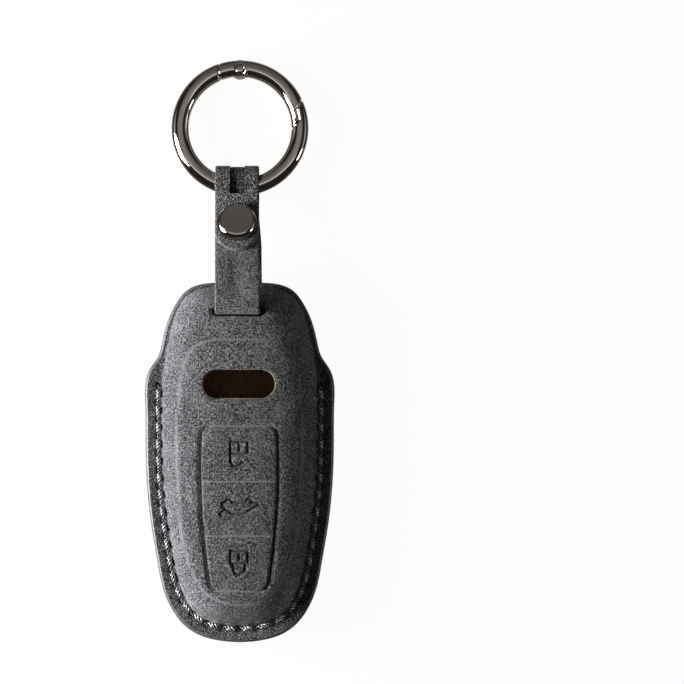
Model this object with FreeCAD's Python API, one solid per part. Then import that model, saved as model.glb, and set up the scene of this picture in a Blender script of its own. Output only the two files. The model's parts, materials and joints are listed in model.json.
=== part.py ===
import FreeCAD, Part
import math
import os

V = FreeCAD.Vector

# Cover: two moulded leather shells on a stitched flange, lying on its back.
# X is across, Y runs towards the ring, Z rises from the back face to the front.
cover_length = 91.7
cover_width = 48.2
shell_height = 9.6
leather = 1.6
flange_width = 4.1
mouth_rim = 1.3
front_side_run = 8.0
rear_side_run = 5.0

# Raised key face on the front shell
face_step = 0.25
face_inset = 4.1
face_drop = 14.5
face_foot = 9.8

# Lining glued inside each shell
lining = 0.5
glue_gap = 0.05

# Badge window
window_length = 18.7
window_height = 7.5
window_drop = 25.9

# Button panel and its three press pads
panel_width = 21.0
panel_foot_width = 13.8
panel_height = 41.8
panel_drop = 36.6
panel_corner = 2.2
panel_bow = 1.2
pad_gap = 0.2
pad_divider_shares = (0.335, 0.665)

# Lock-stitched seam round the flange
stitch_inset = 3.2
stitch_pitch = 4.25
stitch_start_share = 0.163
stitch_hole_radius = 0.5
thread_radius = 0.36
thread_post_radius = 0.42
thread_gap = 0.06

# Leather strap, looped through both shells and folded over the ring
strap_width = 11.2
strap_thickness = 1.5
strap_shift = -0.7
layer_gap = 0.1
floor_gap = 0.05
bend_inner_radius = 0.6
bend_sink = 0.15
slot_side_play = 3.1
slot_play = 1.4
slot_clearance = 0.25
front_slot_depth = 8.4
rear_slot_depth = 6.3
loop_reach = 24.3
loop_clearance = 0.25
pinch_room = 0.6
pinch_bend = 2.0
back_bend = 3.5
floor_bend = 3.0
floor_run = 2.3
ear_slot_width = 3.7
ear_slot_back = 1.6
tongue_width = 3.5
tongue_thickness = 1.2
tongue_inner_radius = 3.5
tongue_shift = 1.0
tongue_wrap_degrees = 195

# Two-part screw stud
rivet_reach = 11.5
rivet_head_radius = 5.15
rivet_face_radius = 4.25
rivet_side = 0.9
rivet_height = 2.4
rivet_edge = 0.25
post_radius = 2.2
post_hole_clearance = 0.15
post_end_gap = 0.1
flap_tail = 7.2
screw_radius = 1.5
screw_fit = 0.05
screw_head_radius = 3.8
screw_head_height = 1.3
screw_length = 4.2
screw_slot_width = 0.9
screw_slot_depth = 0.6

# Spring ring
ring_radius = 15.33
ring_tube_radius = 2.19
pin_radius = 1.35
pin_reach = 15.0
pin_sink = 0.2
pin_fit = 0.05
heel_radius = 5.6
latch_outer_radius = 17.75
latch_inner_radius = 20.07
latch_split_radius = 15.2
gate_gap = 0.12
tongue_plate = 1.5
plate_gap = 0.12
eye_radius = 2.5
eye_flat = 1.9
plunger_radius = 0.7
plunger_length = 2.4
plunger_gap = 0.03
bore_clearance = 0.08
bore_length = 9.4
spring_wire = 0.3
spring_turns = 6
spring_end_gap = 0.05

# Room by which a cut runs past what it cuts
overrun = 3.0

# Outlines as shares of half width and of length, from the top centre down the right side
flange_shares = (
    (0, 0), (0.26, 0.0008), (0.434, 0.0065), (0.556, 0.021), (0.677, 0.06), (0.757, 0.104),
    (0.825, 0.171), (0.86, 0.203), (0.95, 0.24), (0.99, 0.268), (1, 0.34), (0.996, 0.46), (0.984, 0.549),
    (0.931, 0.683), (0.873, 0.772), (0.799, 0.861), (0.725, 0.905), (0.598, 0.95),
    (0.4, 0.983), (0.2, 0.996), (0, 1),
)
dome_shares = (
    (0, 0), (0.28, 0.001), (0.46, 0.008), (0.6, 0.028), (0.735, 0.07), (0.845, 0.13),
    (0.93, 0.2), (0.98, 0.27), (1, 0.36), (0.995, 0.5), (0.965, 0.61), (0.905, 0.72),
    (0.83, 0.82), (0.735, 0.9), (0.59, 0.958), (0.39, 0.988), (0.19, 0.998), (0, 1),
)
face_shares = (
    (0, 0), (0.4, 0.001), (0.72, 0.03), (0.89, 0.1), (0.975, 0.22), (1, 0.38),
    (0.98, 0.57), (0.9, 0.76), (0.75, 0.88), (0.54, 0.955), (0.28, 0.991), (0, 1),
)

# Moulded sections as shares of the side run and of the height, from the foot up
front_section_shares = ((0, 0), (0.05, 0.264), (0.15, 0.488), (0.3, 0.703), (0.5, 0.879), (0.7, 0.96), (1, 1))
rear_section_shares = ((0, 0), (0.094, 0.423), (0.357, 0.766), (0.658, 0.94), (1, 1))

# Arch of the front across the cover, as shares of half width and of height, from the middle out
arch_shares = (
    (0, 1), (0.25, 0.984), (0.5, 0.917), (0.625, 0.857), (0.75, 0.75), (0.875, 0.55), (0.95, 0.349), (1, 0.12),
)

# Places worked out from the sizes above
strap_layer = strap_thickness + layer_gap
pinch_reach = rivet_reach - rivet_head_radius - pinch_room
bend_radius = bend_inner_radius + strap_thickness / 2
ring_inner_radius = ring_radius - ring_tube_radius
loop_edge = strap_width / 2 + abs(strap_shift)
ring_bow = ring_inner_radius - math.sqrt(ring_inner_radius ** 2 - loop_edge ** 2)
loop_inner_radius = ring_tube_radius + ring_bow + loop_clearance
loop_radius = loop_inner_radius + strap_thickness / 2
loop_z = loop_radius + strap_thickness / 2 + floor_gap
ring_tilt = math.asin((loop_z - ring_tube_radius - floor_gap) / (2 * ring_radius))
reach = loop_reach + 2 * ring_radius * math.cos(ring_tilt) + ring_tube_radius
top_y = (cover_length - reach) / 2
bottom_y = top_y - cover_length
seam_z = shell_height
front_z = seam_z + shell_height
face_z = front_z + face_step

# The strap's side profile: the loop's centre, the two bends and the slope between them
loop_centre = V(0, top_y + loop_reach, loop_z)
front_run_y = top_y - front_slot_depth + slot_clearance + strap_thickness / 2
rear_run_y = top_y - rear_slot_depth + slot_clearance + strap_thickness / 2
low_z = strap_thickness / 2 + floor_gap
front_bend = V(0, front_run_y + bend_radius, front_z - bend_sink)
rear_bend = V(0, rear_run_y + bend_radius, low_z + bend_radius)
lean = front_bend - loop_centre
slope = math.atan2(lean.z, -lean.y) + math.asin(bend_radius / lean.Length)
up_strap = V(0, -math.cos(slope), math.sin(slope))
off_strap = V(0, math.sin(slope), math.cos(slope))


def outline(shares, half_width, top, bottom, z):
    # Closed smooth curve through the shares and their mirror image
    right = [V(across * half_width, top - down * (top - bottom), z) for across, down in shares]
    left = [V(-point.x, point.y, z) for point in reversed(right[1:-1])]
    points = right + left
    steps = [(b - a).Length for a, b in zip(shares_at_unit(shares), shares_at_unit(shares)[1:])]
    parameters = [0.0]
    for step in steps + steps[::-1]:
        parameters.append(parameters[-1] + step)
    curve = Part.BSplineCurve()
    curve.interpolate(Points=points, PeriodicFlag=True, Parameters=parameters)
    return curve


def shares_at_unit(shares):
    # The shares at the cover's own proportion, which spaces the curve's parameters
    return [V(across * cover_width / 2, down * cover_length, 0) for across, down in shares]


def flange_curve(inset, z):
    return outline(flange_shares, cover_width / 2 - inset, top_y - inset, bottom_y + inset, z)


def dome_wire(inset, z):
    half_width = cover_width / 2 - flange_width - inset
    top = top_y - mouth_rim - inset
    bottom = bottom_y + flange_width + inset
    return Part.Wire(outline(dome_shares, half_width, top, bottom, z).toShape())


def face_wire(z):
    half_width = cover_width / 2 - flange_width - face_inset
    return Part.Wire(outline(face_shares, half_width, top_y - face_drop, bottom_y + face_foot, z).toShape())


def prism(wire, rise):
    return Part.Face(wire).extrude(V(0, 0, rise))


def arch(lower):
    # Room under the front's arched section, set lower by a layer's depth, all along the cover
    half_width = cover_width / 2 - flange_width
    right = [
        V(across * half_width, bottom_y, seam_z + up * shell_height - lower) for across, up in arch_shares
    ]
    curve = Part.BSplineCurve()
    curve.interpolate([V(-point.x, point.y, point.z) for point in reversed(right[1:])] + right)
    foot = V(half_width, bottom_y, seam_z - overrun)
    sides = Part.makePolygon([right[-1], foot, V(-foot.x, foot.y, foot.z), curve.value(curve.FirstParameter)])
    return Part.Face(Part.Wire([curve.toShape()] + sides.Edges)).extrude(V(0, cover_length, 0))


def dome(inset, side):
    # Half of the pillow form, grown inwards by the inset: side 1 is the front, -1 the back
    shares = front_section_shares if side > 0 else rear_section_shares
    run = front_side_run if side > 0 else rear_side_run
    sections = []
    for across, up in shares:
        step = inset + (run - inset) * across
        sections.append(dome_wire(step, seam_z + side * (shell_height - inset) * up))
    body = Part.makeLoft(sections, True)
    return body.common(arch(inset)) if side > 0 else body


def stadium(length, height, y, bottom, top):
    # Upright prism with round ends, long in X
    radius = height / 2
    half = length / 2 - radius
    right = Part.Arc(V(half, y + radius, bottom), V(half + radius, y, bottom), V(half, y - radius, bottom))
    left = Part.Arc(V(-half, y - radius, bottom), V(-half - radius, y, bottom), V(-half, y + radius, bottom))
    foot = Part.LineSegment(V(half, y - radius, bottom), V(-half, y - radius, bottom))
    head = Part.LineSegment(V(-half, y + radius, bottom), V(half, y + radius, bottom))
    edges = [right.toShape(), foot.toShape(), left.toShape(), head.toShape()]
    return prism(Part.Wire(edges), top - bottom)


def strap_slot(side):
    opening = strap_thickness + slot_play
    depth = front_slot_depth if side > 0 else rear_slot_depth
    y = top_y - depth + opening / 2
    bottom = seam_z if side > 0 else -overrun
    top = face_z + overrun if side > 0 else seam_z
    return stadium(strap_width + slot_side_play, opening, y, bottom, top)


def badge_window():
    return stadium(window_length, window_height, top_y - window_drop, seam_z, face_z + overrun)


def button_panel(grow, bottom, top):
    # Four-sided panel with bowed sides and round corners, narrower at the foot
    head_y = top_y - panel_drop + grow
    foot_y = top_y - panel_drop - panel_height - grow
    head = panel_width / 2 - panel_bow + grow
    foot = panel_foot_width / 2 + grow
    waist = (head + foot) / 2 + panel_bow + grow
    waist_y = (head_y + foot_y) / 2
    right = Part.Arc(V(head, head_y, bottom), V(waist, waist_y, bottom), V(foot, foot_y, bottom))
    left = Part.Arc(V(-foot, foot_y, bottom), V(-waist, waist_y, bottom), V(-head, head_y, bottom))
    base = Part.LineSegment(V(foot, foot_y, bottom), V(-foot, foot_y, bottom))
    crown = Part.LineSegment(V(-head, head_y, bottom), V(head, head_y, bottom))
    body = prism(Part.Wire([right.toShape(), base.toShape(), left.toShape(), crown.toShape()]), top - bottom)
    upright = [edge for edge in body.Edges if edge.BoundBox.ZLength > (top - bottom) / 2]
    return body.makeFillet(panel_corner + grow, upright)


def stitch_points():
    # Stitch holes, evenly spaced along the flange from one shoulder round to the other
    curve = flange_curve(stitch_inset, seam_z)
    whole = curve.length()
    start = whole * stitch_start_share
    count = max(2, round((whole - 2 * start) / stitch_pitch))
    pitch = (whole - 2 * start) / count
    places = [start + index * pitch for index in range(count + 1)]
    first = curve.FirstParameter
    return [curve.value(curve.parameterAtDistance(place, first)) for place in places]


def stitch_holes():
    base = V(0, 0, leather + overrun)
    height = 2 * (leather + overrun)
    holes = [Part.makeCylinder(stitch_hole_radius, height, point - base) for point in stitch_points()]
    return Part.makeCompound(holes)


def shell(side):
    plate = prism(Part.Wire(flange_curve(0, seam_z).toShape()), side * leather)
    body = plate.fuse(dome(0, side)).cut(dome(leather, side))
    return body.cut([strap_slot(side), stitch_holes()])


def front_shell():
    key_face = prism(face_wire(seam_z), shell_height + overrun)
    key_face = key_face.common(arch(-face_step)).cut(arch(leather / 2))
    panel = button_panel(pad_gap, seam_z, face_z + overrun)
    return shell(1).fuse(key_face).cut([badge_window(), panel])


def rear_shell():
    return shell(-1)


def shell_lining(side):
    outside = leather + glue_gap
    body = dome(outside, side).cut(dome(outside + lining, side))
    return body.cut(strap_slot(side))


def front_lining():
    panel = button_panel(pad_gap, seam_z, face_z + overrun)
    return shell_lining(1).cut([badge_window(), panel])


def rear_lining():
    return shell_lining(-1)


def press_pads():
    # The three zones of the panel, parted at the dividers
    panel = button_panel(0, front_z - leather, face_z).common(arch(-face_step))
    head_y = top_y - panel_drop
    cuts = [head_y - share * panel_height for share in pad_divider_shares]
    uppers = [head_y + overrun] + [cut - pad_gap / 2 for cut in cuts]
    lowers = [cut + pad_gap / 2 for cut in cuts] + [head_y - panel_height - overrun]
    pads = []
    for upper, lower in zip(uppers, lowers):
        corner = V(-panel_width, lower, seam_z)
        zone = Part.makeBox(2 * panel_width, upper - lower, shell_height + face_step + overrun, corner)
        pads.append(panel.common(zone))
    return pads


def seam_thread(side):
    # One thread of the lock stitch: a bar over each stitch and a post down each hole
    surface = seam_z + side * (leather + thread_gap + thread_radius)
    points = [V(point.x, point.y, surface) for point in stitch_points()]
    post_end = surface + side * (thread_radius + thread_gap)
    inner_end = seam_z + side * thread_gap
    posts = []
    for point in points:
        low = min(post_end, inner_end)
        foot = V(point.x, point.y, low)
        posts.append(Part.makeCylinder(thread_post_radius, abs(post_end - inner_end), foot))
    bars = []
    for start, end in zip(points, points[1:]):
        along = end - start
        bars.append(Part.makeCylinder(thread_radius, along.Length, start, along))
    return posts[0].multiFuse(posts[1:] + bars)


def strip_run(start, end, width, thickness, x):
    # Straight stretch of a strip seen edge-on, given by its middle line
    side = V(1, 0, 0).cross(end - start).normalize() * (thickness / 2)
    corners = [start + side, end + side, end - side, start - side, start + side]
    face = Part.Face(Part.makePolygon(corners))
    face.translate(V(x - width / 2, 0, 0))
    return face.extrude(V(width, 0, 0))


def strip_bend(centre, radius, start, end, width, thickness, x):
    # Curved stretch of a strip about X, between two angles counted from +Y towards +Z
    def at(distance, angle):
        return centre + V(0, distance * math.cos(angle), distance * math.sin(angle))
    middle = (start + end) / 2
    outer = radius + thickness / 2
    inner = radius - thickness / 2
    edges = [
        Part.Arc(at(outer, start), at(outer, middle), at(outer, end)).toShape(),
        Part.LineSegment(at(outer, end), at(inner, end)).toShape(),
        Part.Arc(at(inner, end), at(inner, middle), at(inner, start)).toShape(),
        Part.LineSegment(at(inner, start), at(outer, start)).toShape(),
    ]
    face = Part.Face(Part.Wire(edges))
    face.translate(V(x - width / 2, 0, 0))
    return face.extrude(V(width, 0, 0))


def strip_path(points, radii, width, thickness, x):
    # Strip along straight runs with a round bend at each inner point
    pieces = []
    start = points[0]
    for before, corner, after, radius in zip(points, points[1:], points[2:], radii):
        come = (corner - before).normalize()
        leave = (after - corner).normalize()
        turn = come.cross(leave).x
        angle = come.getAngle(leave)
        inset = radius * math.tan(angle / 2)
        entry = corner - come * inset
        normal = V(1, 0, 0).cross(come) * math.copysign(1, turn)
        centre = entry + normal * radius
        first = math.atan2(entry.z - centre.z, entry.y - centre.y)
        pieces.append(strip_run(start, entry, width, thickness, x))
        last = first + math.copysign(angle, turn)
        pieces.append(strip_bend(centre, radius, first, last, width, thickness, x))
        start = corner + leave * inset
    pieces.append(strip_run(start, points[-1], width, thickness, x))
    return pieces


def strap_point(distance, offset):
    # Place on the strap's slope, counted from the loop's centre up the strap and off its middle
    return loop_centre + up_strap * distance + off_strap * offset


def touch_angle(point, centre, radius, sign):
    # Angle on a circle where a line from the point touches it
    lean_out = point - centre
    return math.atan2(lean_out.z, lean_out.y) + sign * math.acos(radius / lean_out.Length)


def on_circle(centre, radius, angle):
    return centre + V(0, radius * math.cos(angle), radius * math.sin(angle))


def strap_band():
    # The full-width strip: flap, loop, back leaf, run through the pocket and front leaf
    size = (strap_width, strap_thickness, strap_shift)
    flap_end = rivet_reach + flap_tail - strap_width / 2
    pinch_top = strap_point(pinch_reach, strap_layer)
    pinch_low = strap_point(pinch_reach, -strap_layer)
    over = touch_angle(pinch_top, loop_centre, loop_radius, -1)
    under = touch_angle(pinch_low, loop_centre, loop_radius, 1) - 2 * math.pi
    flap = strip_path(
        [on_circle(loop_centre, loop_radius, over), pinch_top, strap_point(flap_end, strap_layer)],
        [pinch_bend], *size)
    tip_foot = strap_point(flap_end, strap_layer - strap_thickness / 2) + V(strap_shift, 0, 0)
    tip = Part.makeCylinder(strap_width / 2, strap_thickness, tip_foot, off_strap)
    loop = strip_bend(loop_centre, loop_radius, over, under, *size)

    run = (front_bend - rear_bend).normalize()
    run_normal = V(0, -run.z, run.y)
    run_angle = math.atan2(run_normal.z, run_normal.y)
    floor_corner = V(0, top_y - floor_run, low_z)
    back_corner = strap_point(rivet_reach + screw_head_radius + back_bend, -strap_layer)
    back = strip_path(
        [on_circle(loop_centre, loop_radius, under), pinch_low, back_corner, floor_corner,
         rear_bend - V(0, 0, bend_radius)],
        [pinch_bend, back_bend, floor_bend], *size)
    rear_turn = strip_bend(rear_bend, bend_radius, -math.pi / 2, run_angle, *size)
    pocket = strip_run(rear_bend + run_normal * bend_radius, front_bend + run_normal * bend_radius, *size)
    front_angle = math.pi / 2 - slope
    front_turn = strip_bend(front_bend, bend_radius, run_angle + 2 * math.pi, front_angle, *size)
    leaf = strip_run(front_bend + off_strap * bend_radius, strap_point(pinch_reach, 0), *size)
    band = loop.multiFuse(flap + [tip] + back + [rear_turn, pocket, front_turn, leaf])
    slot_y = loop_centre.y - ear_slot_back
    corner = V(strap_shift - ear_slot_width / 2, slot_y, 0)
    slot = Part.makeBox(ear_slot_width, reach, loop_z + loop_radius + overrun, corner)
    return band.cut(slot)


def strap_tongue():
    # The front leaf's narrow end, folded over the ring between the ears
    radius = tongue_inner_radius + tongue_thickness / 2
    size = (tongue_width, tongue_thickness, strap_shift)
    centre = loop_centre - up_strap * tongue_shift
    root = strap_point(pinch_reach, 0)
    angle = touch_angle(root, centre, radius, -1)
    climb = strip_run(root, on_circle(centre, radius, angle), *size)
    knuckle_foot = root + V(strap_shift - tongue_width / 2, 0, 0)
    knuckle = Part.makeCylinder(tongue_thickness / 2, tongue_width, knuckle_foot, V(1, 0, 0))
    fold = strip_bend(centre, radius, angle, angle - math.radians(tongue_wrap_degrees), *size)
    return climb.multiFuse([knuckle, fold])


def rivet_place(offset):
    # Frame of the screw stud at an offset from the strap's middle, its Z along the stud
    turn = FreeCAD.Rotation(V(1, 0, 0), -math.degrees(slope))
    return FreeCAD.Placement(strap_point(rivet_reach, offset) + V(strap_shift, 0, 0), turn)


def strap():
    stack = strap_layer + strap_thickness / 2
    hole = Part.makeCylinder(post_radius + post_hole_clearance, 2 * (stack + layer_gap))
    hole.Placement = rivet_place(-stack - layer_gap)
    return strap_band().cut(hole).fuse(strap_tongue())


def turned(profile):
    # Solid of revolution about Z from radius and height pairs
    points = [V(radius, 0, height) for radius, height in profile]
    return Part.Face(Part.makePolygon(points + points[:1])).revolve(V(0, 0, 0), V(0, 0, 1), 360)


def screw_post():
    stack = 2 * strap_layer + strap_thickness
    depth = stack - post_end_gap
    bore = screw_radius + screw_fit
    bore_top = screw_length + post_end_gap - stack
    body = turned([
        (0, rivet_height), (rivet_face_radius - rivet_edge, rivet_height),
        (rivet_face_radius, rivet_height - rivet_edge), (rivet_head_radius, rivet_side),
        (rivet_head_radius, rivet_edge), (rivet_head_radius - rivet_edge, 0), (post_radius, 0),
        (post_radius, -depth), (bore, -depth), (bore, bore_top), (0, bore_top),
    ])
    body.Placement = rivet_place(strap_layer + strap_thickness / 2)
    return body


def screw():
    body = turned([
        (0, screw_length), (screw_radius, screw_length), (screw_radius, 0), (screw_head_radius, 0),
        (screw_head_radius, -screw_head_height + rivet_edge),
        (screw_head_radius - rivet_edge, -screw_head_height), (0, -screw_head_height),
    ])
    corner = V(-screw_head_radius, -screw_slot_width / 2, -screw_head_height)
    slot = Part.makeBox(2 * screw_head_radius, screw_slot_width, screw_slot_depth, corner)
    body = body.cut(slot)
    body.Placement = rivet_place(-strap_layer - strap_thickness / 2)
    return body


# The ring is made flat about its own centre, the gate hinge at the far side, and then laid in place
pin_centre = V(0, pin_reach, 0)
bore_turn = math.asin(bore_length / (2 * ring_radius))
bore_axis = V(math.cos(bore_turn), -math.sin(bore_turn), 0)


def lay_ring(shape):
    centre = loop_centre + V(0, math.cos(ring_tilt), -math.sin(ring_tilt)) * ring_radius
    shape.Placement = FreeCAD.Placement(centre, FreeCAD.Rotation(V(1, 0, 0), -math.degrees(ring_tilt)))
    return shape


def post_about(centre, radius, half_height):
    return Part.makeCylinder(radius, 2 * half_height, centre - V(0, 0, half_height))


def full_ring():
    return Part.makeTorus(ring_radius, ring_tube_radius)


def gate_zone(grow):
    # Plan region of the gate: a round heel about the pin and a stepped latch at its far end
    tall = ring_tube_radius + overrun
    heel = post_about(pin_centre, heel_radius + grow, tall)
    outer = post_about(pin_centre, latch_outer_radius + grow, tall)
    inner = post_about(pin_centre, latch_inner_radius + grow, tall)
    inner = inner.common(post_about(V(0, 0, 0), latch_split_radius + grow, tall))
    size = 2 * latch_inner_radius
    right = Part.makeBox(size, 2 * size, 2 * tall, V(0, -size, -tall))
    return outer.fuse(inner).common(right).fuse(heel)


def left_slab(half_height):
    size = 2 * latch_inner_radius
    return Part.makeBox(size, 2 * size, 2 * half_height, V(-size, -size, -half_height))


def along_bore(start, end, radius):
    return Part.makeCylinder(radius, end - start, pin_centre + bore_axis * start, bore_axis)


def body_tongue():
    # Plate that carries the pin, with a flat at its end for the plunger
    half = tongue_plate / 2
    reach_in = post_about(pin_centre, heel_radius + 2 * gate_gap, half)
    plate = full_ring().common(left_slab(half)).common(reach_in)
    eye = post_about(pin_centre, eye_radius, half)
    flat = along_bore(eye_flat, eye_flat + eye_radius, eye_radius)
    return plate.fuse(eye).cut(flat)


def ring_body():
    body = full_ring().cut(gate_zone(gate_gap)).fuse(body_tongue())
    body = body.cut(post_about(pin_centre, pin_radius, ring_tube_radius))
    return lay_ring(body)


def ring_gate():
    half = tongue_plate / 2 + plate_gap
    eye_room = post_about(pin_centre, eye_radius + plate_gap, half)
    bore = along_bore(0, bore_length, plunger_radius + bore_clearance)
    pin_hole = post_about(pin_centre, pin_radius + pin_fit, ring_tube_radius + overrun)
    gate = full_ring().common(gate_zone(0))
    return lay_ring(gate.cut([left_slab(half), eye_room, bore, pin_hole]))


def gate_pin():
    return lay_ring(post_about(pin_centre, pin_radius, ring_tube_radius - pin_sink))


def gate_plunger():
    start = eye_flat + plunger_gap
    return lay_ring(along_bore(start, start + plunger_length, plunger_radius))


def arc_from(start, heading, end):
    # Arc that leaves the start along the heading and ends at the end
    chord = end - start
    along = chord * (1 / chord.Length)
    across = heading - along * heading.dot(along)
    lift = chord.Length / 2 * math.tan(heading.getAngle(chord) / 2)
    return Part.Arc(start, start + chord * 0.5 + across.normalize() * lift, end).toShape()


def biarc(start, heading, end, arrival):
    # Two arcs that leave along one heading and arrive along the other
    chord = end - start
    both = heading + arrival
    spread = 2 * (1 - heading.dot(arrival))
    reach_out = (math.sqrt(chord.dot(both) ** 2 + spread * chord.dot(chord)) - chord.dot(both)) / spread
    joint = (start + heading * reach_out + end - arrival * reach_out) * 0.5
    second = arc_from(end, arrival * -1, joint)
    return [arc_from(start, heading, joint), second.reversed()]


def gate_spring():
    # Coil between the plunger and the end of its bore, as quarter turns of two arcs each
    start = eye_flat + plunger_gap + plunger_length + spring_end_gap + spring_wire / 2
    end = bore_length - spring_end_gap - spring_wire / 2
    radius = plunger_radius - spring_wire / 2
    side_axis = bore_axis.cross(V(0, 0, 1))
    rise = (end - start) / (2 * math.pi * spring_turns)
    places, headings = [], []
    for index in range(4 * spring_turns + 1):
        angle = index * math.pi / 2
        out = side_axis * math.cos(angle) + V(0, 0, 1) * math.sin(angle)
        round_way = V(0, 0, 1) * math.cos(angle) - side_axis * math.sin(angle)
        places.append(pin_centre + bore_axis * (start + rise * angle) + out * radius)
        headings.append((round_way * radius + bore_axis * rise).normalize())
    edges = []
    for index in range(4 * spring_turns):
        edges += biarc(places[index], headings[index], places[index + 1], headings[index + 1])
    path = Part.Wire(edges)
    section = Part.Wire(Part.makeCircle(spring_wire / 2, places[0], headings[0]))
    print("gate_spring gap between turns", round(2 * math.pi * rise - spring_wire, 3))
    return lay_ring(path.makePipeShell([section], True, False))


def main():
    os.makedirs("parts", exist_ok=True)
    unlock_pad, boot_pad, lock_pad = press_pads()
    nodes = {
        "front_shell": front_shell(),
        "front_lining": front_lining(),
        "rear_shell": rear_shell(),
        "rear_lining": rear_lining(),
        "unlock_pad": unlock_pad,
        "boot_pad": boot_pad,
        "lock_pad": lock_pad,
        "front_thread": seam_thread(1),
        "rear_thread": seam_thread(-1),
        "strap": strap(),
        "screw_post": screw_post(),
        "screw": screw(),
        "ring_body": ring_body(),
        "ring_gate": ring_gate(),
        "gate_pin": gate_pin(),
        "gate_spring": gate_spring(),
        "gate_plunger": gate_plunger(),
    }
    for name, shape in nodes.items():
        print(name, len(shape.Solids), shape.isValid(), round(shape.Volume, 2))
        shape.exportStep("parts/" + name + ".step")


main()
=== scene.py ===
import json
import math

import bmesh
import bpy
import numpy as np
from mathutils import Matrix, Vector


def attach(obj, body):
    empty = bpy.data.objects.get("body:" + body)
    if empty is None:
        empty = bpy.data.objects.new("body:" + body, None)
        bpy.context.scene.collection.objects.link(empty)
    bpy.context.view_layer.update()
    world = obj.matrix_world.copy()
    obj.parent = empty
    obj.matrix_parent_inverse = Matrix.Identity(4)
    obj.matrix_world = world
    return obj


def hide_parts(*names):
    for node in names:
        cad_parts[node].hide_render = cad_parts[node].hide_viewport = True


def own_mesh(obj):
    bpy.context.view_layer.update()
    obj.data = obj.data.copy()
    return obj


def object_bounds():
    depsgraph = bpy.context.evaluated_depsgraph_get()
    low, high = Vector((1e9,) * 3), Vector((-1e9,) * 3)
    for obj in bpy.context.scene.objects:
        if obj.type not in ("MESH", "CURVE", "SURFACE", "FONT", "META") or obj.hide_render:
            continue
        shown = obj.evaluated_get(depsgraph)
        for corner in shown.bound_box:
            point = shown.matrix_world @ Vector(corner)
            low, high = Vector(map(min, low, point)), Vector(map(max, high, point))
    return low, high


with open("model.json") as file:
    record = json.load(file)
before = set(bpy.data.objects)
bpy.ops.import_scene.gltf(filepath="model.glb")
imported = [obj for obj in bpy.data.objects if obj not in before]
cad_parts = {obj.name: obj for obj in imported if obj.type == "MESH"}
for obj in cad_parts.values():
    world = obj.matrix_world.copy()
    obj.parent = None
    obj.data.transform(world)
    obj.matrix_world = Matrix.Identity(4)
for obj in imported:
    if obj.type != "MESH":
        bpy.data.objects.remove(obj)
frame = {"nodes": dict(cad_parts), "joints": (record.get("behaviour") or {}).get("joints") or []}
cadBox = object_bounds()
joints = {joint["name"]: joint for joint in frame["joints"]}
mm = 0.001  # pieces are modelled in millimetres and set to metres at the end
fullTurn = 2 * math.pi

# the cover, with pairs for the rear and the front shell
cover = {
    "length": 91.7, "halfWidth": 24.1, "seamZ": 9.6, "leather": 1.6, "flange": 4.1, "mouthRim": 0.8,
    "sideRun": 5.0, "sideRise": (8.8, 5.4), "crown": (0.8, 4.2), "crownHalf": 20.0, "crownPower": 2.4,
    "crownRun": 8.0, "faceStep": 0.25, "faceInset": 4.1, "faceDrop": 14.5, "faceFoot": 9.8,
    "around": 720, "faceAround": 160, "splineSteps": 60,
}
bottomY = cadBox[0].y / mm
topY = bottomY + cover["length"]

# outlines as shares of half width and length, from the top centre down the right side
flangeShares = (
    (0, 0), (0.26, 0.0008), (0.434, 0.0065), (0.556, 0.021), (0.677, 0.06), (0.757, 0.104),
    (0.825, 0.171), (0.86, 0.203), (0.95, 0.24), (0.99, 0.268), (1, 0.34), (0.996, 0.46), (0.984, 0.549),
    (0.931, 0.683), (0.873, 0.772), (0.799, 0.861), (0.725, 0.905), (0.598, 0.95),
    (0.4, 0.983), (0.2, 0.996), (0, 1),
)
domeShares = (
    (0, 0), (0.3, 0.001), (0.48, 0.0065), (0.6, 0.0165), (0.695, 0.032), (0.785, 0.062), (0.855, 0.103),
    (0.905, 0.148), (0.955, 0.203), (0.988, 0.258), (1, 0.35), (0.995, 0.5), (0.965, 0.61), (0.905, 0.72),
    (0.83, 0.82), (0.735, 0.9), (0.59, 0.958), (0.39, 0.988), (0.19, 0.998), (0, 1),
)
faceShares = (
    (0, 0), (0.4, 0.001), (0.72, 0.03), (0.89, 0.1), (0.975, 0.22), (1, 0.38),
    (0.98, 0.57), (0.9, 0.76), (0.75, 0.88), (0.54, 0.955), (0.28, 0.991), (0, 1),
)


def smoothStep(low, high, value):
    # rises from 0 at low to 1 at high, or falls where low is the greater
    t = np.clip((value - low) / (high - low), 0, 1)
    return t * t * (3 - 2 * t)


def hump(value, riseFrom, riseTo, fallFrom, fallTo):
    return smoothStep(riseFrom, riseTo, value) * smoothStep(fallTo, fallFrom, value)


def roundRise(value, run):
    # quarter circle that climbs from 0 to 1 over the run
    return np.sqrt(1 - (1 - np.clip(value / run, 0, 1)) ** 2)


def closedSpline(points, spans):
    # periodic cubic through the points, read off finely
    before, after = np.roll(spans, 1)[:, None], spans[:, None]
    rise = (np.roll(points, -1, axis=0) - points) / after
    one = np.eye(len(points))
    system = 2 * one * (before + after) + np.roll(one, -1, axis=1) * before + np.roll(one, 1, axis=1) * after
    bend = np.linalg.solve(system, 6 * (rise - np.roll(rise, 1, axis=0)))
    shares = np.arange(cover["splineSteps"]) / cover["splineSteps"]
    h = after[:, None]
    t = h * shares[None, :, None]
    a, ma = points[:, None], bend[:, None]
    b, mb = np.roll(a, -1, axis=0), np.roll(ma, -1, axis=0)
    curve = (ma * (h - t) ** 3 + mb * t ** 3) / (6 * h)
    return (curve + (a / h - ma * h / 6) * (h - t) + (b / h - mb * h / 6) * t).reshape(-1, 2)


def travelAlong(line):
    steps = np.linalg.norm(np.diff(line, axis=0), axis=1)
    return np.concatenate([[0], np.cumsum(steps)])


def pointsAt(line, travel, at):
    return np.stack([np.interp(at, travel, line[:, axis]) for axis in (0, 1)], axis=1)


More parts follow.
